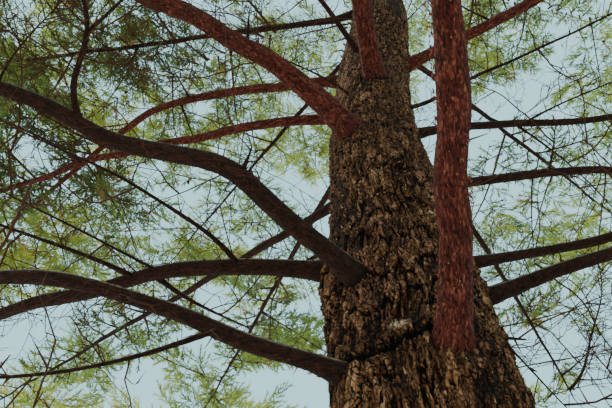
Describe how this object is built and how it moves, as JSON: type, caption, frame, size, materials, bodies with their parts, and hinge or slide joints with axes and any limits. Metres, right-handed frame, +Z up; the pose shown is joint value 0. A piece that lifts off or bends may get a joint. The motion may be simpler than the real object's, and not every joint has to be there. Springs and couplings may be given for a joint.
{
  "type": "pine tree",
  "caption": "Big old open-grown pine with a thick plated trunk, long slim boughs bare near the trunk, and layered masses of needles at their ends.",
  "frame": {"origin": "middle of the flat cut under the trunk, at ground level", "axes": "+Z up along the trunk; +Y away from the side from which the picture was taken; +X to that view's right"},
  "size_m": [11.9905, 12.1133, 16.1297],
  "materials": {
    "trunk_bark": "matt, thick golden-brown plates with near-black fissures",
    "red_bark": "matt, thin flaky red-brown scales",
    "dark_bark": "matt, fine dark brown bark",
    "needles": "satin yellow-green needles, with their twigs"
  },
  "bodies": {
    "root": {"trunk": "trunk_bark", "bough_left_1": "dark_bark", "bough_left_2": "dark_bark", "bough_left_3": "dark_bark", "bough_left_4": "red_bark", "bough_left_5": "red_bark", "bough_left_6": "red_bark", "bough_left_7": "dark_bark", "bough_right_1": "dark_bark", "bough_right_2": "dark_bark", "bough_right_3": "dark_bark", "bough_right_4": "dark_bark", "bough_right_5": "red_bark", "bough_front_1": "red_bark", "bough_front_2": "red_bark", "bough_front_3": "dark_bark", "bough_front_4": "dark_bark", "bough_back_1": "dark_bark", "bough_back_2": "dark_bark", "bough_back_3": "dark_bark", "bough_back_4": "dark_bark", "bough_back_5": "dark_bark", "bough_back_6": "dark_bark", "bough_back_7": "dark_bark", "bough_dead": "dark_bark", "needles_left_1": "needles", "needles_left_2": "needles", "needles_left_3": "needles", "needles_left_4": "needles", "needles_left_5": "needles", "needles_left_6": "needles", "needles_left_7": "needles", "needles_right_1": "needles", "needles_right_2": "needles", "needles_right_3": "needles", "needles_right_4": "needles", "needles_right_5": "needles", "needles_front_1": "needles", "needles_front_2": "needles", "needles_front_3": "needles", "needles_front_4": "needles", "needles_back_1": "needles", "needles_back_2": "needles", "needles_back_3": "needles", "needles_back_4": "needles", "needles_back_5": "needles", "needles_back_6": "needles", "needles_back_7": "needles", "needles_upper_1": "needles", "needles_upper_2": "needles", "needles_upper_3": "needles", "needles_upper_4": "needles", "needles_upper_5": "needles", "needles_upper_6": "needles", "needles_upper_7": "needles", "needles_upper_8": "needles", "needles_top_1": "needles", "needles_top_2": "needles", "needles_top_3": "needles"}
  },
  "joints": []
}
